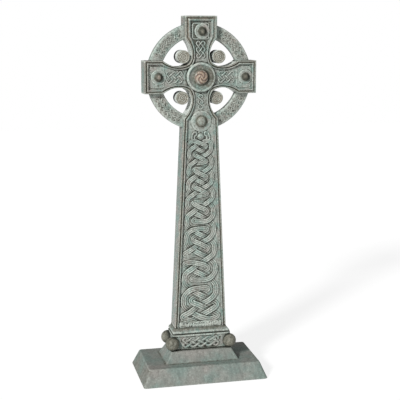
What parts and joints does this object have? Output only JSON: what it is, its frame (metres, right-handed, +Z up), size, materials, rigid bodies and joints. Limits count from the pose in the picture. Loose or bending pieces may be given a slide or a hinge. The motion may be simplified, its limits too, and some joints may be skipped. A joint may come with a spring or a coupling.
{
  "type": "celtic cross memorial casting",
  "caption": "Wheel-headed Celtic high cross with carved knotwork and bosses, on a stepped plinth, cast as a small free-standing memorial.",
  "frame": {"origin": "on the ground under the middle of the plinth", "axes": "+Z up, -Y towards the carved front face, +X to the right seen from the front"},
  "size_m": [0.1608, 0.0958, 0.457],
  "materials": {
    "cross": "bronze-filled casting resin with a pale verdigris patina, dark in the grooves and coppery on worn edges and bosses",
    "plinth": "bronze-filled casting resin with a soft streaked grey-green patina"
  },
  "bodies": {
    "root": {"cross": "cross", "plinth": "plinth"}
  },
  "joints": []
}
